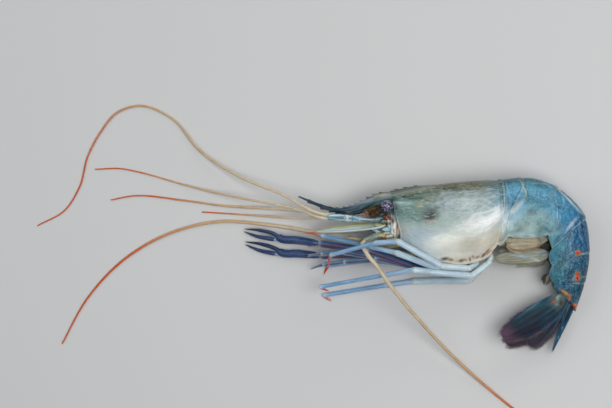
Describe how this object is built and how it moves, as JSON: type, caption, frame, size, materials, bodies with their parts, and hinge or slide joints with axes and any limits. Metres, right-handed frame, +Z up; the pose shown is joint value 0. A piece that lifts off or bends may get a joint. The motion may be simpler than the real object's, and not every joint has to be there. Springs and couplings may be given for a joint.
{
  "type": "giant freshwater prawn",
  "caption": "Giant freshwater prawn lying on its side with its tail curled under, long feelers, slim blue claws and pale walking legs, as a still life-size model.",
  "frame": {"origin": "on the floor, on the flat that the carapace rests on, under the middle of the carapace", "axes": "+Z up, out of the animal's left side; the head points along -X and the back along +Y"},
  "size_m": [0.2977, 0.1793, 0.0322],
  "materials": {
    "shell_pale": "wet shell, translucent olive grey with a gloss coat",
    "shell_blue": "wet shell, steel blue with a gloss coat",
    "tail_blue": "wet shell, dark navy and teal with a gloss coat",
    "limb_blue": "wet shell, pale blue with whitish joints",
    "claw_blue": "finely tubercled shell, deep blue",
    "feeler": "ringed, beige turning orange towards the tip",
    "eye": "glossy dark violet grey, speckled",
    "stalk": "bristly dark brown",
    "membrane": "moist, beige brown"
  },
  "bodies": {
    "root": {"carapace": "shell_pale", "abdomen_1": "shell_blue", "abdomen_2": "shell_blue", "abdomen_3": "shell_blue", "abdomen_4": "shell_blue", "abdomen_5": "shell_blue", "abdomen_6": "shell_blue", "rostrum": "shell_blue", "telson": "shell_blue", "uropod_outer_left": "tail_blue", "uropod_inner_left": "tail_blue", "uropod_outer_right": "tail_blue", "uropod_inner_right": "tail_blue", "face": "limb_blue", "leg_1_left": "limb_blue", "leg_3_left": "limb_blue", "leg_4_left": "limb_blue", "leg_5_left": "limb_blue", "leg_1_right": "limb_blue", "leg_3_right": "limb_blue", "leg_4_right": "limb_blue", "leg_5_right": "limb_blue", "arm_left": "limb_blue", "arm_right": "limb_blue", "antenna_scale_left": "limb_blue", "antenna_scale_right": "limb_blue", "antennule_left": "limb_blue", "antennule_right": "limb_blue", "antenna_left": "limb_blue", "antenna_right": "limb_blue", "claw_left": "claw_blue", "claw_right": "claw_blue", "claw_finger_left": "claw_blue", "claw_finger_right": "claw_blue", "antennule_outer_left": "feeler", "antennule_inner_left": "feeler", "antennule_outer_right": "feeler", "antennule_inner_right": "feeler", "antenna_left_1": "feeler", "antenna_left_2": "feeler", "antenna_right_1": "feeler", "antenna_right_2": "feeler", "eye_left": "eye", "eye_right": "eye", "eyestalk_left": "stalk", "eyestalk_right": "stalk", "sternum": "membrane", "mouth_leg_left": "membrane", "mouth_leg_right": "membrane", "swimmeret_1_left": "membrane", "swimmeret_1_right": "membrane", "swimmeret_2_left": "membrane", "swimmeret_2_right": "membrane", "swimmeret_3_left": "membrane", "swimmeret_3_right": "membrane", "swimmeret_4_left": "membrane", "swimmeret_4_right": "membrane", "swimmeret_5_left": "membrane", "swimmeret_5_right": "membrane"}
  },
  "joints": []
}
